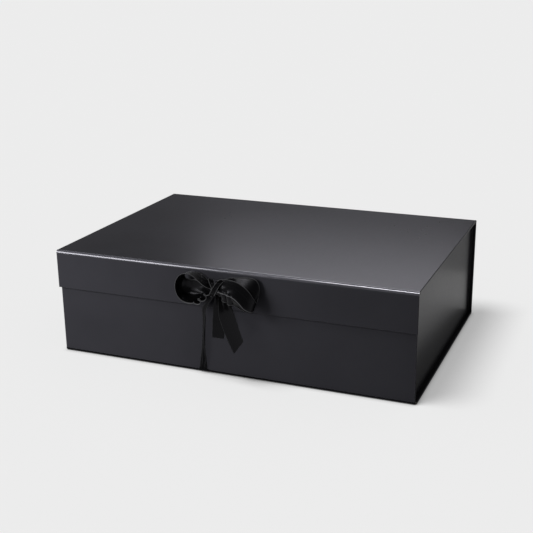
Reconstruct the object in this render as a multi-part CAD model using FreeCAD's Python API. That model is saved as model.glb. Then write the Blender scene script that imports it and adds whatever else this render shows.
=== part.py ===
import FreeCAD
import Part
import math
import os

os.makedirs("parts", exist_ok=True)
V = FreeCAD.Vector

# Closed box, in millimetres: X across the front, Y from front to back, Z up.
BOX_W = 370.0
BOX_D = 256.0
BOX_H = 108.5
FLAP_H = 39.0

# Greyboard, covering paper and the way the paper is folded over the board.
BOARD = 2.0
PAPER = 0.25
EDGE_R = 0.6
TURN_IN = 12.0
LINER_MARGIN = 3.0
CREASE_SLACK = 0.15
LINER_CLEAR = 0.4

# Gaps between the moving panels and the tray, and the set-back of the tray walls.
RIM_GAP = 0.3
FLAP_GAP = 0.3
END_INSET = 4.0
FRONT_INSET = 1.0
FLOOR_CLEAR = 0.2
FLOOR_LINER_INSET = 0.5

# Paper tapes in the inner corners.
STAY_LEG = 12.0
STAY_TOP_GAP = 2.0
STAY_FOOT_GAP = 0.2

# Magnets in the flap and the steel discs that they pull, in the front wall.
MAGNET_D = 12.0
MAGNET_T = 1.5
PLATE_T = 1.0
MAGNET_X = 110.0
MAGNET_DROP = 24.0
POCKET_CLEAR = 0.1

# Satin ribbon: width, thickness, width where it is gathered into a slit.
RIBBON_W = 15.0
RIBBON_T = 0.4
RIBBON_GATHERED = 10.0
SLIT_CLEAR = 1.0
SLIT_H = 0.8
BASE_TAB_L = 30.0

# Bow on the flap: the knot, measured from the flap's face and the lid's top.
KNOT_X = -0.5
KNOT_OUT = 12.0
KNOT_DROP = 14.5
KNOT_W = 10.0
KNOT_D = 12.0
KNOT_H = 15.0
KNOT_R = 2.5

# Loops: how far each reaches from the knot, how far it swells, and how it drops or rises.
LEFT_REACH = 41.8
LEFT_SWELL = 12.4
LEFT_DROP = 1.0
LEFT_ROOT_X = -1.5
LEFT_ROOT_Y = 3.0
LEFT_ROOT_Z = -2.3
RIGHT_REACH = 35.0
RIGHT_SWELL = 8.0
RIGHT_RISE = 1.0
RIGHT_DROP = 9.0
RIGHT_LIFT = 7.0
RIGHT_TWIST = 2.0
RIGHT_ROOT_X = 1.5
LOOP_GATHER = 0.5
LOOP_START = 0.03
LOOP_STEPS = 18

# Tails below the knot: where each starts and ends beside it, its length and its cut.
TAIL_GAP = 0.4
TAIL_GATHERED = 9.0
TAIL_FLARE = 0.31
RIGHT_TAIL_L = 46.6
RIGHT_TAIL_TOP_X = 4.5
RIGHT_TAIL_END_X = 20.9
RIGHT_TAIL_OUT = 4.5
RIGHT_TAIL_CUT = 11.0
LEFT_TAIL_L = 41.6
LEFT_TAIL_TOP_X = 0.5
LEFT_TAIL_END_X = -1.7
LEFT_TAIL_IN = 1.2
LEFT_TAIL_TURN = 25.0

# Lead from the foot of the front wall up to the knot.
LEAD_FOOT_X = -26.2
LEAD_FOOT_GAP = 0.85
LEAD_TOP_X = -4.8
LEAD_TOP_IN = 3.5
LEAD_PINCH = 5.0
LEAD_NARROW = 3.0

# Sizes that follow.
SKIN = BOARD + 2 * PAPER
PANEL_T = SKIN + PAPER
HINGE_R = PANEL_T + CREASE_SLACK
FRONT_Y = -BOX_D / 2
BACK_Y = BOX_D / 2
LID_UNDER = BOX_H - PANEL_T
RIM_Z = LID_UNDER - RIM_GAP
WALL_Y = FRONT_Y + PANEL_T + FLAP_GAP
WALL_IN_Y = WALL_Y + PANEL_T
BACK_IN_Y = BACK_Y - PANEL_T
END_X = BOX_W / 2 - END_INSET
END_IN_X = END_X - PANEL_T
END_LEN = BACK_IN_Y - WALL_IN_Y
END_MID_Y = (BACK_IN_Y + WALL_IN_Y) / 2
FRONT_W = BOX_W - 2 * FRONT_INSET
FLOOR_Z = PANEL_T
FLOOR_TOP = FLOOR_Z + BOARD
MAGNET_Z = BOX_H - MAGNET_DROP
FLAP_TOP_Z = BOX_H - HINGE_R
FLAP_LEN = FLAP_H - HINGE_R
KNOT = V(KNOT_X, FRONT_Y - KNOT_OUT, BOX_H - KNOT_DROP)
KNOT_FOOT = KNOT.z - KNOT_H / 2
KNOT_REAR = KNOT.y + KNOT_D / 2
TAIL_TOP = KNOT_FOOT - TAIL_GAP
SLIT_W = RIBBON_GATHERED + SLIT_CLEAR
FLAP_TAB_END = BOX_H - FLAP_H + TURN_IN + SLIT_CLEAR
ANCHOR_TOP = HINGE_R + (SLIT_H + RIBBON_T) / 2


def box(x0, x1, y0, y1, z0, z1):
    return Part.makeBox(x1 - x0, y1 - y0, z1 - z0, V(x0, y0, z0))


def soften(plate, radius, free_low, free_high):
    """Round the long edges of a plate, and those of its free ends."""
    frame = plate.BoundBox
    picked = []
    for edge in plate.Edges:
        span = edge.BoundBox
        if span.YLength > radius and span.XLength < radius:
            picked.append(edge)
        at_low = abs(span.Center.y - frame.YMin) < radius
        at_high = abs(span.Center.y - frame.YMax) < radius
        across = span.XLength > radius and span.YLength < radius
        if across and ((at_low and free_low) or (at_high and free_high)):
            picked.append(edge)
    return plate.makeFillet(radius, picked)


def panel(width, length, free_low, free_high, side_margin=LINER_MARGIN):
    """Board, covering paper and liner: X across, Y along, Z from outer face inwards.

    Paper is folded round a free end, and a hinged end is left open for a strip.
    """
    half = width / 2
    low = PAPER if free_low else 0.0
    high = PAPER if free_high else 0.0
    board = box(PAPER - half, half - PAPER, low, length - high, PAPER, PAPER + BOARD)
    board = soften(board, EDGE_R - PAPER, free_low, free_high)
    shell = soften(box(-half, half, 0, length, 0, SKIN), EDGE_R, free_low, free_high)
    win_low = TURN_IN if free_low else 0.0
    win_high = length - TURN_IN if free_high else length
    window = box(TURN_IN - half, half - TURN_IN, win_low, win_high, PAPER + BOARD, SKIN)
    wrap = shell.cut(board).cut(window)
    sheet_low = LINER_MARGIN if free_low else LINER_CLEAR
    sheet_high = length - (LINER_MARGIN if free_high else LINER_CLEAR)
    sheet = box(side_margin - half, half - side_margin, sheet_low, sheet_high, SKIN, PANEL_T)
    liner = sheet.fuse(window).removeSplitter()
    return {"board": board, "wrap": wrap, "liner": liner}


def place(shape, turn, origin):
    moved = shape.copy()
    moved.Placement = FreeCAD.Placement(origin, turn)
    return moved


def set_panel(parts, name, pieces, turn, origin):
    for kind in pieces:
        parts[name + "_" + kind] = place(pieces[kind], turn, origin)


def crease(width, centre_y, centre_z, to_y, to_z):
    """Quarter-round paper strip about an X line, on the side given by two signs."""
    start = V(-width / 2, centre_y, centre_z)
    outer = Part.makeCylinder(HINGE_R, width, start, V(1, 0, 0))
    inner = Part.makeCylinder(HINGE_R - PAPER, width, start, V(1, 0, 0))
    far_y = centre_y + to_y * HINGE_R
    far_z = centre_z + to_z * HINGE_R
    corner = box(-width / 2, width / 2, min(centre_y, far_y), max(centre_y, far_y),
                 min(centre_z, far_z), max(centre_z, far_z))
    return outer.cut(inner).common(corner)


def case_panels(parts):
    """Base, back, lid, flap and front wall, all from one kind of panel."""
    turn = {a: FreeCAD.Rotation(V(1, 0, 0), a) for a in (0, 90, 180, -90)}
    base_y = WALL_Y + HINGE_R
    base_len = BACK_Y - HINGE_R - base_y
    base = panel(BOX_W, base_len, False, False, BOX_W / 2 - END_IN_X + FLOOR_CLEAR)
    set_panel(parts, "base", base, turn[0], V(0, base_y, 0))
    back = panel(BOX_W, BOX_H - 2 * HINGE_R, False, False)
    set_panel(parts, "back", back, turn[90], V(0, BACK_Y, HINGE_R))
    lid = panel(BOX_W, BOX_D - 2 * HINGE_R, False, False)
    set_panel(parts, "lid", lid, turn[180], V(0, BACK_Y - HINGE_R, BOX_H))
    flap = panel(BOX_W, FLAP_LEN, False, True)
    set_panel(parts, "flap", flap, turn[-90], V(0, FRONT_Y, FLAP_TOP_Z))
    front = panel(FRONT_W, RIM_Z - HINGE_R, True, False)
    set_panel(parts, "front", front, turn[-90], V(0, WALL_Y, RIM_Z))
    parts["lid_hinge_strip"] = crease(BOX_W, BACK_Y - HINGE_R, BOX_H - HINGE_R, 1, 1)
    parts["flap_hinge_strip"] = crease(BOX_W, FRONT_Y + HINGE_R, BOX_H - HINGE_R, -1, 1)
    parts["back_crease_strip"] = crease(BOX_W, BACK_Y - HINGE_R, HINGE_R, 1, -1)
    parts["front_crease_strip"] = crease(FRONT_W, base_y, HINGE_R, -1, -1)


def tray_inside(parts):
    """End walls, floor and the paper tapes in the four upright corners."""
    wall = panel(END_LEN, RIM_Z - SKIN, True, True)
    cyclic = FreeCAD.Rotation(V(1, 1, 1), 120)
    half_turn = FreeCAD.Rotation(V(0, 0, 1), 180)
    set_panel(parts, "left_end", wall, cyclic, V(-END_X, END_MID_Y, SKIN))
    set_panel(parts, "right_end", wall, half_turn.multiply(cyclic), V(END_X, END_MID_Y, SKIN))
    fx = END_IN_X - FLOOR_CLEAR
    fy0 = WALL_IN_Y + FLOOR_CLEAR
    fy1 = BACK_IN_Y - FLOOR_CLEAR
    parts["floor_board"] = box(-fx, fx, fy0, fy1, FLOOR_Z, FLOOR_TOP)
    cut = FLOOR_LINER_INSET
    parts["floor_liner"] = box(cut - fx, fx - cut, fy0 + cut, fy1 - cut,
                               FLOOR_TOP, FLOOR_TOP + PAPER)
    z0 = FLOOR_TOP + PAPER + STAY_FOOT_GAP
    z1 = RIM_Z - STAY_TOP_GAP
    for side, sx in (("left", -1), ("right", 1)):
        for row, y_in, sy in (("front", WALL_IN_Y, 1), ("back", BACK_IN_Y, -1)):
            xs = sorted((sx * END_IN_X, sx * (END_IN_X - STAY_LEG)))
            ys = sorted((y_in, y_in + sy * STAY_LEG))
            leg_x = sorted((sx * END_IN_X, sx * (END_IN_X - PAPER)))
            leg_y = sorted((y_in, y_in + sy * PAPER))
            along_end = box(leg_x[0], leg_x[1], ys[0], ys[1], z0, z1)
            along_wall = box(xs[0], xs[1], leg_y[0], leg_y[1], z0, z1)
            parts["stay_" + row + "_" + side] = along_end.fuse(along_wall).removeSplitter()


def magnets(parts):
    """Magnet discs let into the flap board, facing steel discs in the front board."""
    magnet_y = FRONT_Y + PAPER + BOARD - MAGNET_T
    plate_y = WALL_Y + PAPER
    for side, x in (("left", -MAGNET_X), ("right", MAGNET_X)):
        seat = V(x, magnet_y, MAGNET_Z)
        face = V(x, plate_y, MAGNET_Z)
        way = V(0, 1, 0)
        hole = MAGNET_D / 2 + POCKET_CLEAR
        parts["flap_magnet_" + side] = Part.makeCylinder(MAGNET_D / 2, MAGNET_T, seat, way)
        parts["front_plate_" + side] = Part.makeCylinder(MAGNET_D / 2, PLATE_T, face, way)
        pocket = Part.makeCylinder(hole, MAGNET_T, seat, way)
        recess = Part.makeCylinder(hole, PLATE_T, face, way)
        parts["flap_board"] = parts["flap_board"].cut(pocket)
        parts["front_board"] = parts["front_board"].cut(recess)


def cut_from(parts, names, tool):
    for name in names:
        parts[name] = parts[name].cut(tool)


def ribbon_anchors(parts):
    """Slits in the flap and at the foot of the front wall, and the tabs glued behind."""
    kx = KNOT.x
    half = RIBBON_GATHERED / 2
    slit = SLIT_W / 2
    tab_y = FRONT_Y + SKIN - RIBBON_T
    lead_low = KNOT.z - RIBBON_T / 2
    lead_high = KNOT.z + RIBBON_T / 2
    opening = box(kx - slit, kx + slit, FRONT_Y - 1, FRONT_Y + SKIN,
                  KNOT.z - SLIT_H / 2, KNOT.z + SLIT_H / 2)
    cut_from(parts, ("flap_wrap", "flap_board"), opening)
    pocket = box(kx - slit, kx + slit, tab_y, FRONT_Y + SKIN, FLAP_TAB_END, KNOT.z + SLIT_H / 2)
    cut_from(parts, ("flap_board", "flap_liner"), pocket)
    parts["flap_ribbon_anchor"] = box(kx - half, kx + half, tab_y, FRONT_Y + SKIN,
                                      FLAP_TAB_END, lead_high)
    parts["flap_ribbon_lead"] = box(kx - half, kx + half, KNOT_REAR, tab_y, lead_low, lead_high)
    x = LEAD_FOOT_X
    mouth = box(x - slit, x + slit, WALL_Y - 1, WALL_IN_Y + 1, HINGE_R, HINGE_R + SLIT_H)
    cut_from(parts, ("front_wrap", "front_board", "front_liner"), mouth)
    tab_end = WALL_IN_Y + BASE_TAB_L
    groove = box(x - slit, x + slit, WALL_IN_Y, tab_end + SLIT_CLEAR, FLOOR_Z, ANCHOR_TOP)
    cut_from(parts, ("floor_board",), groove)
    parts["base_ribbon_anchor"] = box(x - half, x + half, WALL_Y, tab_end,
                                      ANCHOR_TOP - RIBBON_T, ANCHOR_TOP)


def ribbon(stations):
    """Flat ribbon through (centre, across, face, width) stations."""
    wires = []
    for centre, across, face, width in stations:
        a = V(across).normalize().multiply(width / 2)
        n = V(face).normalize().multiply(RIBBON_T / 2)
        corners = [centre - a - n, centre + a - n, centre + a + n, centre - a + n]
        wires.append(Part.makePolygon(corners + [corners[0]]))
    band = Part.makeLoft(wires, True, True)
    if band.Volume < 0:
        band.reverse()
    return band


def lerp(a, b, t):
    return a + (b - a) * t


def loop(root, reach, swell, lift, twist, across):
    """Loop of ribbon that leaves the knot on the swell side and comes back on the other."""

    def centre(t):
        wave = math.sin(2 * math.pi * t)
        point = root + reach * math.sin(math.pi * t) + swell * wave
        return point + V(0, 0, lift * wave * wave - twist * wave)

    stations = []
    for i in range(LOOP_STEPS + 1):
        t = LOOP_START + (1 - 2 * LOOP_START) * i / LOOP_STEPS
        if t < 0.5:
            wide = lerp(across[0], across[1], 2 * t)
        else:
            wide = lerp(across[1], across[2], 2 * t - 1)
        along = centre(t + 0.002) - centre(t - 0.002)
        full = LOOP_GATHER + (1 - LOOP_GATHER) * math.sqrt(math.sin(math.pi * t))
        stations.append((centre(t), wide, along.cross(wide), RIBBON_W * full))
    return ribbon(stations)


def tail(top, end, across, cut):
    """Straight hanging tail: gathered at the knot, full width below, with a slanted end."""
    along = (end - top).normalize()
    face = along.cross(across)
    wide = face.cross(along).normalize()
    slant = wide * RIBBON_W - along * cut
    flare = lerp(top, end, TAIL_FLARE)
    return ribbon([
        (top, across, face, TAIL_GATHERED),
        (flare, wide, face, RIBBON_W),
        (end, slant, face, slant.Length),
    ])


def tails(parts):
    """Two cut tails that hang from the knot, the right one in front of the left one."""
    top = V(KNOT.x + RIGHT_TAIL_TOP_X, KNOT.y - RIGHT_TAIL_OUT, TAIL_TOP)
    end = V(KNOT.x + RIGHT_TAIL_END_X, KNOT.y - RIGHT_TAIL_OUT, TAIL_TOP - RIGHT_TAIL_L)
    parts["bow_right_tail"] = tail(top, end, V(1, 0, 0), RIGHT_TAIL_CUT)
    top = V(KNOT.x + LEFT_TAIL_TOP_X, KNOT.y + LEFT_TAIL_IN, TAIL_TOP)
    end = V(KNOT.x + LEFT_TAIL_END_X, KNOT.y + LEFT_TAIL_IN, TAIL_TOP - LEFT_TAIL_L)
    turn = math.radians(LEFT_TAIL_TURN)
    parts["bow_left_tail"] = tail(top, end, V(math.cos(turn), -math.sin(turn), 0), 0.0)


def base_lead(parts):
    """Lead that leaves the slit flat, turns its edge to the front and runs to the knot.

    Each row holds the shares of the rise, the side step and the outward step from the
    foot to the knot, then the turn of the ribbon about Z in degrees, and its width.
    """
    foot = V(LEAD_FOOT_X, WALL_Y - LEAD_FOOT_GAP - RIBBON_T / 2, HINGE_R + SLIT_H / 2)
    top = V(KNOT.x + LEAD_TOP_X, KNOT.y + LEAD_TOP_IN, TAIL_TOP)
    step = top - foot
    rows = (
        (0.0, 0.0, 0.0, 0.0, RIBBON_GATHERED),
        (0.2, 0.1, 0.33, 37.0, RIBBON_W - LEAD_NARROW),
        (0.52, 0.27, 0.67, 67.5, RIBBON_W),
        (0.84, 0.44, 1.05, 78.5, RIBBON_W - LEAD_NARROW),
        (1.0, 1.0, 1.0, 78.5, LEAD_PINCH),
    )
    stations = []
    for rise, side, out, degrees, width in rows:
        turn = math.radians(degrees)
        centre = foot + V(step.x * side, step.y * out, step.z * rise)
        across = V(math.cos(turn), -math.sin(turn), 0)
        face = V(-math.sin(turn), -math.cos(turn), 0)
        stations.append((centre, across, face, width))
    parts["base_ribbon_lead"] = ribbon(stations)


def bow(parts):
    """Knot on the flap and the loops at its two sides."""
    knot = box(KNOT.x - KNOT_W / 2, KNOT.x + KNOT_W / 2, KNOT.y - KNOT_D / 2, KNOT_REAR,
               KNOT_FOOT, KNOT_FOOT + KNOT_H)
    knot = knot.makeFillet(KNOT_R, knot.Edges)
    parts["bow_knot"] = knot
    straight = (V(0, -1, 0), V(0, -1, 0), V(0, -1, 0))
    root = KNOT + V(LEFT_ROOT_X, LEFT_ROOT_Y, LEFT_ROOT_Z)
    reach = V(-LEFT_REACH, 0, -LEFT_DROP)
    left = loop(root, reach, V(0, 0, LEFT_SWELL), 0.0, 0.0, straight)
    turning = (V(0.15, 0.38, 0.91), V(0.5, 0.4, 0.77), V(0.1, 0.0, 0.99))
    root = KNOT + V(RIGHT_ROOT_X, 0, 0)
    reach = V(RIGHT_REACH, 0, -RIGHT_DROP)
    swell = V(0, -RIGHT_SWELL, RIGHT_RISE)
    right = loop(root, reach, swell, RIGHT_LIFT, RIGHT_TWIST, turning)
    for name, band in (("bow_left_loop", left), ("bow_right_loop", right)):
        outside = band.cut(knot)
        parts[name] = max(outside.Solids, key=lambda piece: piece.Volume)


def main():
    parts = {}
    case_panels(parts)
    tray_inside(parts)
    magnets(parts)
    ribbon_anchors(parts)
    bow(parts)
    tails(parts)
    base_lead(parts)
    for name in sorted(parts):
        shape = parts[name]
        if len(shape.Solids) != 1 or not shape.isValid():
            raise ValueError(name + " is not one valid solid")
        shape.Solids[0].exportStep("parts/" + name + ".step")


main()
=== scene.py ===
import math

import bpy
import numpy as np
from mathutils import Matrix, Vector


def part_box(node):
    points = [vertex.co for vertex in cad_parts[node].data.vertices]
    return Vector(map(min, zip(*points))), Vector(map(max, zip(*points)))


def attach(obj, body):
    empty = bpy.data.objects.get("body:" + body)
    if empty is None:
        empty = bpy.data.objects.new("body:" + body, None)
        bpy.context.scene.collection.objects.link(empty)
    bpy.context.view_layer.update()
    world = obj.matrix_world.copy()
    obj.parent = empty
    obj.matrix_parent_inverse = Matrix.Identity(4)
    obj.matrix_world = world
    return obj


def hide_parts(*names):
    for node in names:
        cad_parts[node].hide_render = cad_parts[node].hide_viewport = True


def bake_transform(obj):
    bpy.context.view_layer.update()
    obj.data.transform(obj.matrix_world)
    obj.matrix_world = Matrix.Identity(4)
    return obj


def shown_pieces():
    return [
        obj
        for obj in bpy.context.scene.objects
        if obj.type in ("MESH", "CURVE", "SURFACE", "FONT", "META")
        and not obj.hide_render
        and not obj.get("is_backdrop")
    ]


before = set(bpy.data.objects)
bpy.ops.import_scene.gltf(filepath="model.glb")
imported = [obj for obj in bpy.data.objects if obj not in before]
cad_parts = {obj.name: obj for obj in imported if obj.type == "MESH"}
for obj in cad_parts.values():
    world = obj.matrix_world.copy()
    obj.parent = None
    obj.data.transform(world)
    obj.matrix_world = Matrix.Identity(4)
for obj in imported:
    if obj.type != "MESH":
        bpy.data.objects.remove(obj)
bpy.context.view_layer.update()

MM = 0.001
SCENE = bpy.context.scene

# Ribbon: width where it is tucked in, and thickness of the cloth, in millimetres.
TUCKED_W = 10.0
RIBBON_T = 0.3

# Ribbon: share of the width in each selvedge, and texture length per metre.
SELVEDGE = 0.05
UV_PER_METRE = 10.0

# Mesh steps along and across the ribbon pieces.
LOOP_ROWS = 132
TAIL_ROWS = 70
LEAD_ROWS = 90
KNOT_ROWS = 192
TUCKED_ROWS = 40
ACROSS = 21
TUCKED_ACROSS = 13

# Edges of the left loop, in millimetres, from the knot over the top, round and back below.
LEFT_FRONT = [
    (-4.0, -142.5, 94.1), (-8.5, -144.6, 94.9), (-13.2, -146.0, 97.2), (-18.4, -146.5, 101.1),
    (-23.7, -147.0, 105.5), (-30.3, -147.0, 107.3), (-37.2, -147.0, 104.9), (-41.4, -147.0, 99.1),
    (-42.9, -146.5, 91.8), (-40.7, -146.0, 83.5), (-35.4, -145.5, 78.5), (-27.8, -145.0, 77.3),
    (-19.4, -145.0, 79.5), (-13.0, -144.6, 84.7), (-8.5, -143.8, 88.7), (-4.0, -142.5, 91.3),
]
LEFT_BACK = [
    (-5.0, -137.5, 95.0), (-9.9, -135.6, 96.7), (-15.7, -133.5, 99.8), (-21.8, -132.0, 103.3),
    (-28.2, -131.5, 105.0), (-34.3, -131.0, 104.6), (-38.0, -131.0, 102.8), (-39.6, -131.0, 100.2),
    (-39.0, -131.2, 98.0), (-36.4, -131.5, 97.0), (-32.4, -132.0, 97.2), (-26.9, -132.5, 97.6),
    (-20.6, -133.5, 96.4), (-14.9, -135.5, 94.0), (-9.6, -137.6, 92.2), (-5.0, -138.6, 91.7),
]

# Right loop: upper edge, lower fold and the strip rolled under it, from the knot and back.
RIGHT_UPPER = [
    (-3.6, -140.0, 101.1), (3.5, -142.0, 104.1), (11.1, -143.0, 104.9), (19.3, -143.5, 103.6),
    (26.2, -143.5, 100.1), (31.9, -143.0, 94.9), (35.6, -141.5, 88.0), (36.6, -138.8, 84.1),
    (36.8, -135.5, 86.5), (37.1, -133.2, 91.5), (37.0, -132.0, 97.7), (33.4, -131.0, 103.3),
    (24.7, -130.5, 104.7), (15.6, -130.5, 103.9), (6.8, -131.5, 102.5), (-0.3, -134.0, 100.1),
    (-5.0, -136.0, 97.5),
]
RIGHT_LOWER = [
    (-0.5, -145.4, 92.5), (7.0, -148.0, 92.0), (13.7, -149.5, 90.9), (19.8, -150.0, 88.4),
    (24.7, -150.0, 84.2), (28.4, -149.5, 80.1), (32.3, -147.0, 77.3), (34.5, -143.5, 76.0),
    (34.6, -140.5, 77.0), (33.8, -139.5, 80.0), (31.5, -139.6, 84.0), (27.0, -139.8, 88.0),
    (20.0, -139.8, 90.0), (12.5, -139.2, 90.0), (5.0, -138.2, 89.5), (-0.5, -137.4, 90.2),
    (-4.5, -137.4, 91.5),
]
RIGHT_UNDER = [
    (-0.6, -142.4, 88.9), (7.2, -144.5, 84.3), (13.6, -145.7, 82.5), (19.9, -146.2, 80.3),
    (25.1, -146.6, 78.3), (29.2, -146.9, 77.1), (32.2, -145.4, 75.9), (34.0, -142.3, 75.0),
    (34.0, -140.1, 75.8), (33.2, -139.3, 78.9), (30.8, -139.6, 83.2), (26.4, -140.0, 87.1),
    (19.5, -140.2, 89.1), (12.1, -139.6, 89.1), (4.7, -138.6, 88.7), (-0.8, -137.8, 89.5),
    (-4.8, -137.8, 90.8),
]

# Left and right edges of the tails, from the knot down, and of the base lead, from its foot up.
RIGHT_TAIL_L = [
    (-2.0, -138.0, 88.5), (-0.2, -142.8, 78.5), (1.5, -145.4, 67.7), (7.3, -145.4, 51.0),
    (15.5, -144.4, 32.5),
]
RIGHT_TAIL_R = [
    (5.0, -138.6, 89.5), (12.4, -143.4, 82.0), (16.8, -146.0, 74.9), (21.3, -146.0, 60.5),
    (25.3, -144.6, 46.4),
]
LEFT_TAIL_L = [
    (-5.0, -137.2, 88.5), (-6.2, -139.6, 78.2), (-6.9, -141.0, 66.4), (-7.1, -142.3, 55.6),
    (-7.0, -143.3, 45.8),
]
LEFT_TAIL_R = [
    (2.0, -136.6, 88.9), (5.0, -138.4, 78.2), (5.0, -139.7, 66.3), (4.8, -141.0, 55.2),
    (4.5, -142.0, 45.2),
]
BASE_LEAD_L = [
    (-30.6, -126.2, 3.3), (-28.5, -127.0, 12.9), (-26.9, -127.2, 23.7), (-25.2, -127.2, 34.4),
    (-23.8, -127.4, 46.0), (-23.0, -129.0, 59.0), (-21.4, -132.0, 71.4), (-6.4, -135.2, 87.5),
]
BASE_LEAD_R = [
    (-21.6, -126.2, 3.3), (-21.0, -128.6, 12.9), (-20.8, -130.6, 23.7), (-20.6, -132.6, 34.4),
    (-20.0, -133.6, 46.0), (-17.4, -135.4, 59.0), (-14.7, -138.4, 71.4), (-4.6, -139.4, 87.5),
]

# Curls of an edge: share of the width left flat, powers of their growth across and along, and
# the share of a curl's depth by which the edge laps over itself.
CURL_FROM = 0.45
CURL_GROWTH = 1.5
CURL_SWELL = 0.5
CURL_OVER = 0.8

# Knot: a pleated band wound twice round the gathered middle, crossing itself in front. Sizes are
# in millimetres, the lap is a share of the radii, the selvedge a share of half the band.
KNOT_CENTRE = (-1.6, -140.2, 95.0)
KNOT_RADII = (6.0, 7.2)
KNOT_TURNS = 2
KNOT_WIDTH = 4.8
KNOT_LEAN = 9.0
KNOT_LAP = 0.08
KNOT_CROWN = 0.5
KNOT_FOLD = 0.55
KNOT_PLEATS = 5
KNOT_SELVEDGE = 0.25

# Tucked strips, in millimetres: how far the flap lead reaches into the knot, and where it and
# the base anchor have their middle point.
LEAD_INTO_KNOT = 2.0
LEAD_MIDDLE = 3.0
ANCHOR_MIDDLE = 12.0

# Hinge papers: thickness in metres, mesh steps along and round the fold, sharpest smooth edge.
PAPER_T = 0.25 * MM
HINGE_STATIONS = 61
HINGE_STEPS = 15
HINGE_SHARP = math.radians(40)

# Camera found from the photograph's corners: place, aim, roll and focal length in pixels.
CAMERA_AT = (0.36978, -0.91257, 0.39018)
CAMERA_AIM = (-0.01071, 0.0, 0.07189)
CAMERA_ROLL = math.radians(-0.761)
CAMERA_CLIP = (0.01, 2000.0)
FOCAL_PX = 979.47
IMAGE_PX = 533
SENSOR = 36.0

# Floor: reach in metres, paint, glow towards the camera and reach of the painted contact shade that
# dims the glow near the box.
FLOOR_REACH = 400.0
FLOOR_PAINT = 0.46
FLOOR_GLOW = 0.395
CONTACT_REACH = 0.006

# Cards just above the floor, met by reflections alone, that glow darker than the floor as painted
# shade in what the box mirrors:
# a dark one round the foot of the box and a grey one behind its right end. Places are in metres.
CARD_RISE = 0.0001
FOOT_SHADE_TONE = 0.11
FOOT_OUTER = [(-0.195, -0.134), (0.238, -0.134), (0.230, -0.060), (0.206, 0.110), (0.196, 0.138),
              (-0.195, 0.138)]
FOOT_INNER = [(-0.180, -0.120), (0.180, -0.120), (0.180, -0.060), (0.180, 0.110), (0.180, 0.120),
              (-0.180, 0.120)]
FAR_SHADE_TONE = 0.45
FAR_CORNERS = [(0.19, 0.27), (0.70, 0.27), (0.70, 1.20), (0.19, 1.20)]

# World and key light.
WORLD_STRENGTH = 0.16
KEY_AT = (-0.62, -0.55, 2.0)
KEY_STRENGTH = 2.75
KEY_ANGLE = math.radians(26)

# Stretches of a noise texture's values, from its narrow core to nearly all of it.
NOISE_NARROW = (0.4, 0.6)
NOISE_CORE = (0.35, 0.65)
NOISE_BODY = (0.3, 0.7)
NOISE_WIDE = (0.25, 0.75)


def catmull(points, count):
    """Smooth curve through points, sampled evenly in its own parameter."""
    pts = np.asarray(points, float)
    ghost = np.vstack([2 * pts[0] - pts[1], pts, 2 * pts[-1] - pts[-2]])
    at = np.linspace(0, len(pts) - 1, count)
    i = np.minimum(at.astype(int), len(pts) - 2)
    t = (at - i).reshape((-1,) + (1,) * (pts.ndim - 1))
    a, b, c, d = ghost[i], ghost[i + 1], ghost[i + 2], ghost[i + 3]
    return 0.5 * (2 * b + (c - a) * t + (2 * a - 5 * b + 4 * c - d) * t ** 2
                  + (3 * b - a - 3 * c + d) * t ** 3)


def unit(vectors):
    """Vectors along the last axis, scaled to length one."""
    tiny = 1e-9
    return vectors / np.maximum(np.linalg.norm(vectors, axis=-1, keepdims=True), tiny)


def middle_steps(grid):
    """Lengths from row to row along the middle line of a grid."""
    middle = grid[:, grid.shape[1] // 2]
    return np.linalg.norm(np.diff(middle, axis=0), axis=1)


def middle_run(grid):
    """Length along the middle line of a grid, from its first row to each row."""
    return np.concatenate([[0], np.cumsum(middle_steps(grid))])


def respace(grid):
    """Rows of a grid set out evenly along its middle line."""
    run = middle_run(grid)
    want = np.linspace(0, run[-1], len(grid))
    out = np.empty_like(grid)
    for j in range(grid.shape[1]):
        for k in range(3):
            out[:, j, k] = np.interp(want, run, grid[:, j, k])
    return out


def normals_of(grid):
    """Unit normal at each point of a grid."""
    return unit(np.cross(np.gradient(grid, axis=0), np.gradient(grid, axis=1)))


def ribbon_grid(edges, rows=LOOP_ROWS, cols=ACROSS, bulge=0.0):
    """Grid of points across two or more edge lines, crowned by bulge at its middle."""
    lines = np.stack([catmull(edge, rows) for edge in edges])
    grid = respace(np.stack([catmull(lines[:, r], cols) for r in range(rows)]))
    v = np.linspace(-1, 1, cols)
    crown = (1 - v ** 2) * bulge
    return grid + normals_of(grid) * crown[None, :, None]


def pleat(grid, folds, depth, start, end, phase=0.0):
    """Lengthwise folds that are deepest at start (0 to 1 along) and die out at end."""
    rows, cols = grid.shape[:2]
    t = np.linspace(0, 1, rows)
    v = np.linspace(0, 1, cols)
    share = np.clip((t - end) / (start - end), 0, 1)
    share = share * share * (3 - 2 * share)
    wave = np.sin(math.pi * folds * v + phase)
    return grid + normals_of(grid) * (wave[None, :] * share[:, None] * depth)[:, :, None]


def ruffle(grid, curls, depth, start, end, far):
    """Curls along one edge of a ribbon between start and end (0 to 1 along)."""
    rows, cols = grid.shape[:2]
    t = np.clip((np.linspace(0, 1, rows) - start) / (end - start), 0, 1)
    v = np.linspace(0, 1, cols) if far else np.linspace(1, 0, cols)
    reach = np.clip((v - CURL_FROM) / (1 - CURL_FROM), 0, 1) ** CURL_GROWTH
    swell = (np.sin(math.pi * t) ** CURL_SWELL)[:, None] * reach[None, :] * depth
    turn = 2 * math.pi * curls * t
    out = np.sin(turn)[:, None] * swell
    over = np.cos(turn)[:, None] * swell * CURL_OVER
    along = unit(np.gradient(grid, axis=0))
    return grid + normals_of(grid) * out[:, :, None] + along * over[:, :, None]


def new_object(name, mesh):
    """Object of a mesh, put into the scene."""
    obj = bpy.data.objects.new(name, mesh)
    SCENE.collection.objects.link(obj)
    return obj


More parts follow.
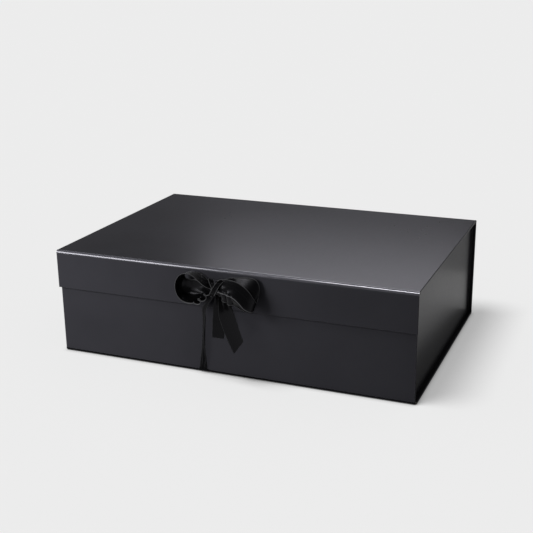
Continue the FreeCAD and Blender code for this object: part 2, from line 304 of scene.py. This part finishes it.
def sheet_mesh(name, grid, closed=False, cross=None):
    """Mesh of a ribbon grid in metres, with its length and width as UV, given a thickness."""
    rows, cols = grid.shape[:2]
    faces = []
    for r in range(rows if closed else rows - 1):
        q = (r + 1) % rows
        for c in range(cols - 1):
            faces.append((r * cols + c, r * cols + c + 1, q * cols + c + 1, q * cols + c))
    mesh = bpy.data.meshes.new(name)
    mesh.from_pydata((grid.reshape(-1, 3) * MM).tolist(), [], faces)
    if cross is None:
        cross = np.linspace(0, 1, cols)
    run = middle_run(grid)
    last_band = (rows - 1) * (cols - 1)
    layer = mesh.uv_layers.new(name="ribbon")
    for poly in mesh.polygons:
        for loop in poly.loop_indices:
            r, c = divmod(mesh.loops[loop].vertex_index, cols)
            along = run[r]
            if closed and r == 0 and poly.index >= last_band:
                along = run[-1] + (run[-1] - run[-2])
            layer.data[loop].uv = (along * MM * UV_PER_METRE, cross[c])
    mesh.shade_smooth()
    obj = new_object(name, mesh)
    solid = obj.modifiers.new("thickness", "SOLIDIFY")
    solid.thickness = RIBBON_T * MM
    solid.offset = 0.0
    solid.use_even_offset = False
    return obj


class Graph:
    """Small helper that adds shader nodes and links them."""

    def __init__(self, name):
        self.material = bpy.data.materials.new(name)
        self.material.use_nodes = True
        self.tree = self.material.node_tree
        self.tree.nodes.clear()
        self.out = self.tree.nodes.new("ShaderNodeOutputMaterial")

    def feed(self, socket, value):
        """Link a socket to another one, or set it to a plain value."""
        if isinstance(value, bpy.types.NodeSocket):
            self.tree.links.new(value, socket)
        else:
            socket.default_value = value

    def add(self, kind, inputs=None, **settings):
        node = self.tree.nodes.new(kind)
        for key, value in settings.items():
            setattr(node, key, value)
        for key, value in (inputs or {}).items():
            self.feed(node.inputs[key], value)
        return node

    def where(self):
        return self.add("ShaderNodeTexCoord").outputs["Object"]

    def stretched(self, vector, scale):
        return self.add("ShaderNodeMapping", {"Vector": vector, "Scale": scale}).outputs["Vector"]

    def noise(self, vector, scale, detail=3.0, rough=0.55):
        found = self.add("ShaderNodeTexNoise", {"Vector": vector, "Scale": scale,
                                                "Detail": detail, "Roughness": rough})
        return found.outputs["Fac"]

    def span(self, value, source, target=(0.0, 1.0)):
        """Value carried from one stretch of numbers to another."""
        found = self.add("ShaderNodeMapRange", {
            "Value": value, "From Min": source[0], "From Max": source[1],
            "To Min": target[0], "To Max": target[1],
        })
        return found.outputs["Result"]

    def math(self, operation, a, b=0.0):
        found = self.add("ShaderNodeMath", {0: a, 1: b}, operation=operation)
        return found.outputs["Value"]

    def mix(self, share, a, b):
        found = self.add("ShaderNodeMix", data_type="RGBA")
        for key, value in (("Factor", share), ("A", a), ("B", b)):
            self.feed(next(s for s in found.inputs if s.name == key and s.enabled), value)
        return next(s for s in found.outputs if s.enabled)

    def bump(self, height, strength, distance, **under):
        found = self.add("ShaderNodeBump", {"Strength": strength, "Distance": distance,
                                            "Height": height, **under})
        return found.outputs["Normal"]

    def finish(self, shader):
        self.tree.links.new(shader.outputs[0], self.out.inputs["Surface"])
        return self.material


def rgb(r, g, b):
    """Colour with full alpha."""
    return (r, g, b, 1.0)


def scaled(tone, share):
    """Colour of a tone made darker or lighter by a share."""
    return rgb(*[t * share for t in tone])


COOL_GLOSS = rgb(0.93, 0.92, 1.0)


def paper(name, tone, worn, rough, level, fibre, bump):
    """Paper over board: clouded tone, fine fibre relief and a trace of wear at the folds."""
    cloud_scale, clouding, gloss_drift = 9.0, 0.12, 0.01
    grain_share, grain_stretch = 0.3, (1.0, 0.25, 1.0)
    wear, wear_reach = 0.5, 0.0012
    g = Graph(name)
    where = g.where()
    cloud = g.noise(where, cloud_scale, detail=4.0)
    fine = g.noise(where, fibre, detail=5.0, rough=0.65)
    streak = g.noise(g.stretched(where, grain_stretch), fibre * grain_share, detail=2.0)
    edge = g.add("ShaderNodeBevel", {"Radius": wear_reach}, samples=4)
    true = g.add("ShaderNodeNewGeometry")
    turn = g.add("ShaderNodeVectorMath", {0: edge.outputs["Normal"], 1: true.outputs["Normal"]},
                 operation="DOT_PRODUCT").outputs["Value"]
    rub = g.math("MULTIPLY", g.span(turn, (1.0, 0.9)), g.span(fine, NOISE_CORE))
    shade = g.mix(g.span(cloud, NOISE_BODY), scaled(tone, 1 - clouding), scaled(tone, 1 + clouding))
    shade = g.mix(g.math("MULTIPLY", rub, wear), shade, rgb(*worn))
    gloss = g.math("ADD", g.span(cloud, NOISE_WIDE, (rough - gloss_drift, rough + gloss_drift)),
                   g.span(streak, NOISE_BODY, (-gloss_drift, gloss_drift)))
    relief = g.bump(fine, strength=bump, distance=0.00006)
    wave = g.bump(cloud, strength=0.003, distance=0.002, Normal=relief)
    shader = g.add("ShaderNodeBsdfPrincipled", {
        "Base Color": shade, "Roughness": gloss, "Specular IOR Level": level,
        "Specular Tint": COOL_GLOSS, "Normal": wave,
    })
    return g.finish(shader)


def board(name):
    """Grey recycled board with dark and pale flecks."""
    dark, pale, ply_tone = rgb(0.17, 0.155, 0.135), rgb(0.30, 0.28, 0.25), rgb(0.21, 0.19, 0.165)
    fleck_scale, ply_scale, ply_stretch = 900.0, 120.0, (1.0, 1.0, 6.0)
    g = Graph(name)
    where = g.where()
    fleck = g.noise(where, fleck_scale, detail=6.0, rough=0.7)
    layer = g.noise(g.stretched(where, ply_stretch), ply_scale)
    shade = g.mix(g.span(fleck, NOISE_CORE), dark, pale)
    shade = g.mix(g.span(layer, NOISE_NARROW, (0.0, 0.5)), shade, ply_tone)
    shader = g.add("ShaderNodeBsdfPrincipled", {
        "Base Color": shade, "Roughness": g.span(fleck, NOISE_BODY, (0.82, 0.95)),
        "Specular IOR Level": 0.3, "Normal": g.bump(fleck, strength=0.4, distance=0.0001),
    })
    return g.finish(shader)


def metal(name, tone, rough):
    """Plated disc with fine scratches."""
    dulled, cloud_scale = 0.85, 300.0
    scratch, scratch_scale, scratch_stretch = 0.06, 2500.0, (1.0, 1.0, 0.05)
    g = Graph(name)
    where = g.where()
    lines = g.noise(g.stretched(where, scratch_stretch), scratch_scale, detail=4.0)
    shade = g.mix(g.noise(where, cloud_scale), scaled(tone, dulled), rgb(*tone))
    shader = g.add("ShaderNodeBsdfPrincipled", {
        "Base Color": shade, "Metallic": 1.0,
        "Roughness": g.span(lines, NOISE_BODY, (rough - scratch, rough + scratch)),
        "Normal": g.bump(lines, strength=0.15, distance=0.00002),
    })
    return g.finish(shader)


def satin(name, edge):
    """Black satin ribbon: fine warp lines along it, faint weft, and at both edges a matt selvedge
    painted pale as a highlight line.
    """
    deep, bright = rgb(0.0022, 0.0022, 0.0025), rgb(0.0048, 0.0048, 0.0053)
    warp_share, warp_stretch = 0.7, (2.0, 110.0, 1.0)
    weft_share, weft_stretch = 0.3, (900.0, 4.0, 1.0)
    selvedge_band, selvedge_highlight_share, selvedge_matt = (0.455, 0.472), 0.85, 0.12
    # The edge argument is the pale tone of the selvedges: a painted highlight along both edges of
    # the ribbon.
    selvedge_highlight_tone = rgb(edge, edge, 1.04 * edge)
    g = Graph(name)
    uv = g.add("ShaderNodeUVMap", uv_map="ribbon").outputs["UV"]
    warp = g.noise(g.stretched(uv, warp_stretch), 1.0, detail=2.0, rough=0.6)
    weft = g.noise(g.stretched(uv, weft_stretch), 1.0, detail=1.0)
    across = g.add("ShaderNodeSeparateXYZ", {"Vector": uv}).outputs["Y"]
    from_middle = g.math("ABSOLUTE", g.math("SUBTRACT", across, 0.5))
    selvedge = g.span(from_middle, selvedge_band)
    shade = g.mix(g.span(warp, NOISE_BODY), deep, bright)
    # Painted highlight: the selvedge bands take the pale edge tone.
    shade = g.mix(g.math("MULTIPLY", selvedge, selvedge_highlight_share), shade, selvedge_highlight_tone)
    gloss = g.math("ADD", g.span(warp, NOISE_BODY, (0.21, 0.29)),
                   g.math("MULTIPLY", selvedge, selvedge_matt))
    height = g.math("ADD", g.math("MULTIPLY", warp, warp_share),
                    g.math("MULTIPLY", weft, weft_share))
    lengthwise = g.add("ShaderNodeTangent", direction_type="UV_MAP", uv_map="ribbon")
    shader = g.add("ShaderNodeBsdfPrincipled", {
        "Base Color": shade, "Roughness": gloss, "Specular IOR Level": 0.12,
        "Specular Tint": COOL_GLOSS, "Anisotropic": 0.3, "Tangent": lengthwise.outputs["Tangent"],
        "Sheen Weight": 0.01, "Sheen Roughness": 0.3,
        "Normal": g.bump(height, strength=0.25, distance=0.00004),
    })
    return g.finish(shader)


BLACK_PAPER = dict(tone=(0.0146, 0.0144, 0.0170), worn=(0.050, 0.050, 0.053), fibre=1400.0,
                   bump=0.004)
COVER = paper("covering_paper", rough=0.29, level=0.05, **BLACK_PAPER)
CREASE = paper("creased_paper", rough=0.17, level=0.27, **BLACK_PAPER)
LINING = paper("lining_paper", tone=(0.018, 0.018, 0.019), worn=(0.05, 0.05, 0.052), rough=0.58,
               level=0.30, fibre=900.0, bump=0.30)
GREYBOARD = board("greyboard")
MAGNET = metal("nickel_plate", tone=(0.62, 0.60, 0.56), rough=0.24)
STEEL = metal("zinc_plate", tone=(0.52, 0.53, 0.55), rough=0.34)
# Two copies of one satin that differ only in the painted selvedge highlight: bright on the loops and
# knot, dim on the tails and base lead.
SATIN = satin("satin_ribbon", edge=0.125)
SATIN_DIM_HIGHLIGHT = satin("satin_ribbon_dim_highlight", edge=0.02)


def paint(obj, material):
    """Give every material slot of an object one material."""
    if not obj.material_slots:
        obj.data.materials.append(material)
    for place in obj.material_slots:
        place.material = material


def node_material(name):
    """Material of a solid, told from its name."""
    if name.endswith("_board"):
        return GREYBOARD
    if name.endswith("_liner") or name.startswith("stay_"):
        return LINING
    if "magnet" in name:
        return MAGNET
    if "plate" in name:
        return STEEL
    if "ribbon" in name or name.startswith("bow_"):
        return SATIN
    return COVER


for node_name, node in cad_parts.items():
    paint(node, node_material(node_name))


def hinge_mesh(name, low, high, centre_y, sign):
    """Quarter-round strip of paper along X, closed all round."""
    outer = high.z - low.z
    turn = np.linspace(0, math.pi / 2, HINGE_STEPS)
    ring = []
    for radius, angles in ((outer, turn), (outer - PAPER_T, turn[::-1])):
        ring += [(centre_y + sign * radius * math.cos(a), low.z + radius * math.sin(a))
                 for a in angles]
    stations = np.linspace(low.x, high.x, HINGE_STATIONS)
    verts = [(x, y, z) for x in stations for y, z in ring]
    n = len(ring)
    last = (HINGE_STATIONS - 1) * n
    faces = []
    for start in range(0, last, n):
        for k in range(n):
            m = (k + 1) % n
            faces.append((start + k, start + m, start + n + m, start + n + k))
    faces.append(tuple(range(n - 1, -1, -1)))
    faces.append(tuple(range(last, last + n)))
    mesh = bpy.data.meshes.new(name)
    mesh.from_pydata(verts, [], faces)
    mesh.validate()
    return mesh


def face_outward(obj):
    """Turn all faces of a closed mesh outward."""
    bpy.context.view_layer.objects.active = obj
    obj.select_set(True)
    bpy.ops.object.mode_set(mode="EDIT")
    bpy.ops.mesh.select_all(action="SELECT")
    bpy.ops.mesh.normals_make_consistent(inside=False)
    bpy.ops.object.mode_set(mode="OBJECT")
    obj.select_set(False)


def hinge_strip(name, node, toward_back, body_a):
    """Paper strip in the fold between two panels."""
    low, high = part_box(node)
    centre_y = low.y if toward_back else high.y
    sign = 1 if toward_back else -1
    obj = new_object(name, hinge_mesh(name, low, high, centre_y, sign))
    face_outward(obj)
    obj.data.set_sharp_from_angle(angle=HINGE_SHARP)
    paint(obj, CREASE)
    if body_a == "tray":
        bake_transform(obj)
    else:
        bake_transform(obj)
    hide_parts(node)


hinge_strip("lid_hinge_paper", "lid_hinge_strip", True, "tray")
hinge_strip("flap_hinge_paper", "flap_hinge_strip", False, "lid")


def ribbon(name, grid, node, body, closed=False, cross=None,
           material=SATIN):
    """Ribbon piece that stands for a solid of the ribbon, and hides that solid."""
    obj = sheet_mesh(name, grid, closed, cross)
    paint(obj, material)
    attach(obj, body)
    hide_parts(node)


# Left loop, with its rolled lower edge and the pleats at the knot.
left = ribbon_grid([LEFT_FRONT, LEFT_BACK])
left = pleat(left, folds=1, depth=-6.0, start=0.66, end=0.46)
left = pleat(left, folds=1, depth=5.5, start=0.98, end=0.78)
left = pleat(left, folds=5, depth=0.7, start=0.0, end=0.22, phase=0.4)
left = pleat(left, folds=6, depth=1.5, start=1.0, end=0.70, phase=0.9)
left = ruffle(left, curls=3, depth=3.0, start=0.75, end=0.96, far=False)
ribbon("bow_left_loop_ribbon", left, "bow_left_loop", "flap")

# Right loop, doubled at its lower fold, where the pale selvedge tone is laid along the fold as a
# painted highlight line.
right_middle = (np.array(RIGHT_UPPER) + np.array(RIGHT_LOWER)) / 2
right = ribbon_grid([RIGHT_UPPER, right_middle, RIGHT_LOWER, RIGHT_UNDER])
right = pleat(right, folds=5, depth=0.35, start=0.0, end=0.2, phase=0.2)
right = pleat(right, folds=5, depth=1.0, start=1.0, end=0.8, phase=0.7)
right = ruffle(right, curls=2.5, depth=2.4, start=0.02, end=0.20, far=True)
last_column = ACROSS - 1
fold_column = round(last_column * 2 / 3)
fold_highlight_cross = np.interp(np.arange(ACROSS), [0, fold_column, last_column], [0.0, 1.0, 0.0])
ribbon("bow_right_loop_ribbon", right, "bow_right_loop", "flap",
       cross=fold_highlight_cross)

# Tails and base lead.
right_tail = ribbon_grid([RIGHT_TAIL_L, RIGHT_TAIL_R], TAIL_ROWS, bulge=-0.5)
right_tail = pleat(right_tail, folds=5, depth=0.9, start=0.0, end=0.35, phase=0.3)
ribbon("bow_right_tail_ribbon", right_tail, "bow_right_tail", "tails",
       material=SATIN_DIM_HIGHLIGHT)

left_tail = ribbon_grid([LEFT_TAIL_L, LEFT_TAIL_R], TAIL_ROWS, bulge=-0.3)
left_tail = pleat(left_tail, folds=4, depth=0.9, start=0.0, end=0.3, phase=1.2)
ribbon("bow_left_tail_ribbon", left_tail, "bow_left_tail", "tails",
       material=SATIN_DIM_HIGHLIGHT)

lead = ribbon_grid([BASE_LEAD_L, BASE_LEAD_R], LEAD_ROWS)
lead = pleat(lead, folds=4, depth=1.1, start=0.12, end=0.0)
ribbon("base_lead_ribbon", lead, "base_ribbon_lead", "tails",
       material=SATIN_DIM_HIGHLIGHT)


def knot_grid(u):
    """Closed band of the knot, at the places u (-1 to 1) across it."""
    turns = np.linspace(0, 2 * math.pi * KNOT_TURNS, KNOT_ROWS, endpoint=False)
    swing = turns / KNOT_TURNS
    reach = 1.0 + KNOT_LAP * np.cos(swing)
    deep, high = KNOT_RADII
    outward = unit(np.stack([np.zeros_like(turns), -np.cos(turns) / deep, np.sin(turns) / high],
                            axis=1))
    middle = np.array(KNOT_CENTRE) + np.stack(
        [KNOT_LEAN * np.sin(swing), -deep * reach * np.cos(turns), high * reach * np.sin(turns)],
        axis=1)
    along = np.roll(middle, -1, axis=0) - np.roll(middle, 1, axis=0)
    side = unit(np.cross(outward, along))
    crown = KNOT_CROWN * (1 - u ** 2) - KNOT_FOLD * np.cos(KNOT_PLEATS * math.pi * u)
    return (middle[:, None] + side[:, None] * (u * KNOT_WIDTH / 2)[None, :, None]
            + outward[:, None] * crown[None, :, None])


# Knot, whose selvedges keep their width where the middle of the band is gathered; their pale tone is
# a painted highlight.
across_knot = np.linspace(-1, 1, ACROSS)
knot_selvedge_highlights = np.interp(across_knot, [-1.0, KNOT_SELVEDGE - 1.0, 1.0 - KNOT_SELVEDGE, 1.0],
                      [0.0, SELVEDGE, 1.0 - SELVEDGE, 1.0])
ribbon("bow_knot_ribbon", knot_grid(across_knot), "bow_knot", "flap",
       closed=True, cross=knot_selvedge_highlights)


def tucked_strip(name, node, body, points):
    """Flat run of ribbon along a few points, level across the box."""
    line = np.array(points, float)
    edge = np.array((TUCKED_W / 2, 0.0, 0.0))
    grid = ribbon_grid([line - edge, line + edge], TUCKED_ROWS, TUCKED_ACROSS)
    grid = pleat(grid, folds=3, depth=0.12, start=0.0, end=1.6)
    ribbon(name, grid, node, body)


def box_mm(node):
    """Lowest corner, middle and highest corner of a node, in millimetres."""
    low, high = (np.array(corner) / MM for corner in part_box(node))
    return low, (low + high) / 2, high


low, mid, high = box_mm("flap_ribbon_lead")
tucked_strip("flap_lead_ribbon", "flap_ribbon_lead", "flap",
             [(mid[0], y, mid[2]) for y in (low[1] - LEAD_INTO_KNOT, low[1] + LEAD_MIDDLE, high[1])])
low, mid, high = box_mm("flap_ribbon_anchor")
tucked_strip("flap_anchor_ribbon", "flap_ribbon_anchor", "flap",
             [(mid[0], mid[1], z) for z in (high[2], mid[2], low[2])])
low, mid, high = box_mm("base_ribbon_anchor")
tucked_strip("base_anchor_ribbon", "base_ribbon_anchor", "tray",
             [(mid[0], y, mid[2]) for y in (low[1], low[1] + ANCHOR_MIDDLE, high[1])])


def add_camera():
    """Camera at the photograph's place, rolled about its own line of sight."""
    lens = bpy.data.cameras.new("camera")
    lens.sensor_fit = "HORIZONTAL"
    lens.sensor_width = SENSOR
    lens.lens = FOCAL_PX / IMAGE_PX * SENSOR
    lens.clip_start, lens.clip_end = CAMERA_CLIP
    camera = new_object("camera", lens)
    back = (Vector(CAMERA_AT) - Vector(CAMERA_AIM)).normalized()
    right_way = Vector((0, 0, 1)).cross(back).normalized()
    up_way = back.cross(right_way)
    rolled_right = math.cos(CAMERA_ROLL) * right_way + math.sin(CAMERA_ROLL) * up_way
    rolled_up = -math.sin(CAMERA_ROLL) * right_way + math.cos(CAMERA_ROLL) * up_way
    turned = Matrix((rolled_right, rolled_up, back)).transposed()
    camera.matrix_world = Matrix.Translation(CAMERA_AT) @ turned.to_4x4()
    SCENE.camera = camera


def floor_paint():
    """Pale floor that takes shadows, and glows only where it is seen or mirrored; the glow is dimmed
    close to the box, a painted contact shade.
    """
    g = Graph("pale_floor")
    matt = g.add("ShaderNodeBsdfDiffuse", {"Color": rgb(FLOOR_PAINT, FLOOR_PAINT, FLOOR_PAINT)})
    path = g.add("ShaderNodeLightPath")
    seen = g.math("MAXIMUM", path.outputs["Is Camera Ray"], path.outputs["Is Transmission Ray"])
    seen = g.math("MAXIMUM", seen, path.outputs["Is Glossy Ray"])
    # Painted contact shade: the glow dims where the box is within reach.
    painted_contact_shade = g.add("ShaderNodeAmbientOcclusion", {"Distance": CONTACT_REACH}, samples=8)
    glow = g.add("ShaderNodeEmission", {"Color": painted_contact_shade.outputs["Color"],
                                        "Strength": g.math("MULTIPLY", seen, FLOOR_GLOW)})
    return g.finish(g.add("ShaderNodeAddShader", {0: matt.outputs[0], 1: glow.outputs[0]}))


def add_floor():
    """Floor of one wide triangle, so that no edge crosses it in the picture."""
    mesh = bpy.data.meshes.new("floor")
    mesh.from_pydata([(-2 * FLOOR_REACH, -FLOOR_REACH, 0), (2 * FLOOR_REACH, -FLOOR_REACH, 0),
                      (0, 2.5 * FLOOR_REACH, 0)], [], [(0, 1, 2)])
    mesh.materials.append(floor_paint())
    obj = new_object("floor", mesh)
    obj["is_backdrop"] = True
    return obj


def add_shade_card(name, tone, points, faces):
    """Flat glowing card of one plain tone that shows only in reflections, as painted shade."""
    mesh = bpy.data.meshes.new(name)
    mesh.from_pydata([(x, y, CARD_RISE) for x, y in points], [], faces)
    obj = new_object(name, mesh)
    obj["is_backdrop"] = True
    g = Graph(name + "_tone")
    mesh.materials.append(g.finish(g.add("ShaderNodeEmission", {"Strength": tone})))
    obj.visible_camera = obj.visible_diffuse = obj.visible_shadow = False
    obj.visible_transmission = False


def add_world():
    """Even white light from all round."""
    world = bpy.data.worlds.new("studio")
    SCENE.world = world
    world.use_nodes = True
    sky = world.node_tree.nodes["Background"]
    sky.inputs["Color"].default_value = rgb(1.0, 1.0, 1.0)
    sky.inputs["Strength"].default_value = WORLD_STRENGTH


add_camera()
floor = add_floor()
sides = len(FOOT_OUTER)
# Painted shade in reflections: a dark card round the foot and a grey one behind the right end.
add_shade_card("foot_shade_card", FOOT_SHADE_TONE, FOOT_OUTER + FOOT_INNER,
         [(k, (k + 1) % sides, sides + (k + 1) % sides, sides + k) for k in range(sides)])
add_shade_card("far_shade_card", FAR_SHADE_TONE, FAR_CORNERS, [(0, 1, 2, 3)])
add_world()


def add_lamp(lamp, place, target, only):
    """Put a lamp in its place, aimed at target, to light the objects of one collection."""
    obj = new_object(lamp.name, lamp)
    obj.location = place
    obj.rotation_euler = (Vector(target) - obj.location).to_track_quat("-Z", "Y").to_euler()
    obj.light_linking.receiver_collection = only
    return obj


def softbox(name, place, target, size, power, only, spread=180.0, tint=(1.0, 1.0, 1.0)):
    """Rectangular lamp that the camera doesn't see."""
    lamp = bpy.data.lights.new(name, "AREA")
    lamp.shape = "RECTANGLE"
    lamp.size, lamp.size_y = size
    lamp.energy = power
    lamp.spread = math.radians(spread)
    lamp.color = tint
    obj = add_lamp(lamp, place, target, only)
    obj.visible_camera = False
    return obj


def gather(name, objects):
    """Collection of objects for a lamp's links."""
    found = bpy.data.collections.new(name)
    SCENE.collection.children.link(found)
    for obj in objects:
        found.objects.link(obj)
    return found


def pieces_in(*materials):
    """Pieces of the box whose first material is one of these."""
    return [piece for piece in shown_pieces() if piece.material_slots[0].material in materials]


# What each lamp lights: the papers, with the discs under them, or the ribbon, never bare board.
# The front lamp is kept off the lid, which would mirror it to the back at low angles.
paper_pieces = pieces_in(COVER, CREASE, LINING, MAGNET, STEEL)
lid_pieces = [piece for piece in paper_pieces if piece.name.startswith("lid_")]
panel_pieces = [piece for piece in paper_pieces
                if piece not in lid_pieces and "crease" not in piece.name]
loop_pieces = [piece for piece in pieces_in(SATIN, SATIN_DIM_HIGHLIGHT) if "tail" not in piece.name]
hanging = ("bow_right_tail_ribbon", "bow_left_tail_ribbon", "base_lead_ribbon")

ground = gather("floor_only", [floor])
papers = gather("papers_only", paper_pieces)
folds = gather("folds_only", pieces_in(CREASE))
lid_only = gather("lid_only", lid_pieces)
panels = gather("panels_only", panel_pieces)
loops = gather("all_but_tails", loop_pieces)
shading = gather("papers_and_loops", [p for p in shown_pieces() if p.name not in hanging])

# Points of the box, in metres, that the lamps are aimed at.
FRONT_FOLD = (0.0, -0.128, 0.108)
BOW = (0.0, -0.14, 0.09)

key = bpy.data.lights.new("key", "SUN")
key.energy = KEY_STRENGTH
key.angle = KEY_ANGLE
add_lamp(key, KEY_AT, (0, 0, 0), ground)
softbox("edge", (0.02, -0.5, 1.15), (0.05, -0.128, 0.108), size=(0.6, 0.22), power=37.0,
        only=folds)
softbox("overhead", (-0.12, -0.5, 1.15), FRONT_FOLD, size=(0.5, 0.3), power=5.0, only=papers)
softbox("behind", (-0.15, 0.68, 0.54), (0.10, -0.11, 0.108), size=(0.5, 0.25), power=2.40,
        only=papers, tint=(0.93, 0.915, 1.0))
softbox("lid_fill", (-0.70, 0.0, 0.90), (-0.15, 0.0, 0.108), size=(0.4, 0.4), power=9.0,
        only=lid_only)
front_left = softbox("front_left", (-0.6, -0.7, 0.4), (-0.25, -0.13, 0.06), size=(0.5, 0.5),
                     power=4.3, only=panels, spread=75.0)
front_left.light_linking.blocker_collection = shading
softbox("ribbon_key", (-0.45, -0.79, 0.87), BOW, size=(0.2, 0.2), power=2.2, only=loops)
softbox("ribbon_low", (-0.60, -0.80, 0.20), BOW, size=(0.25, 0.25), power=2.6, only=loops)

SCENE.view_settings.view_transform = "Standard"
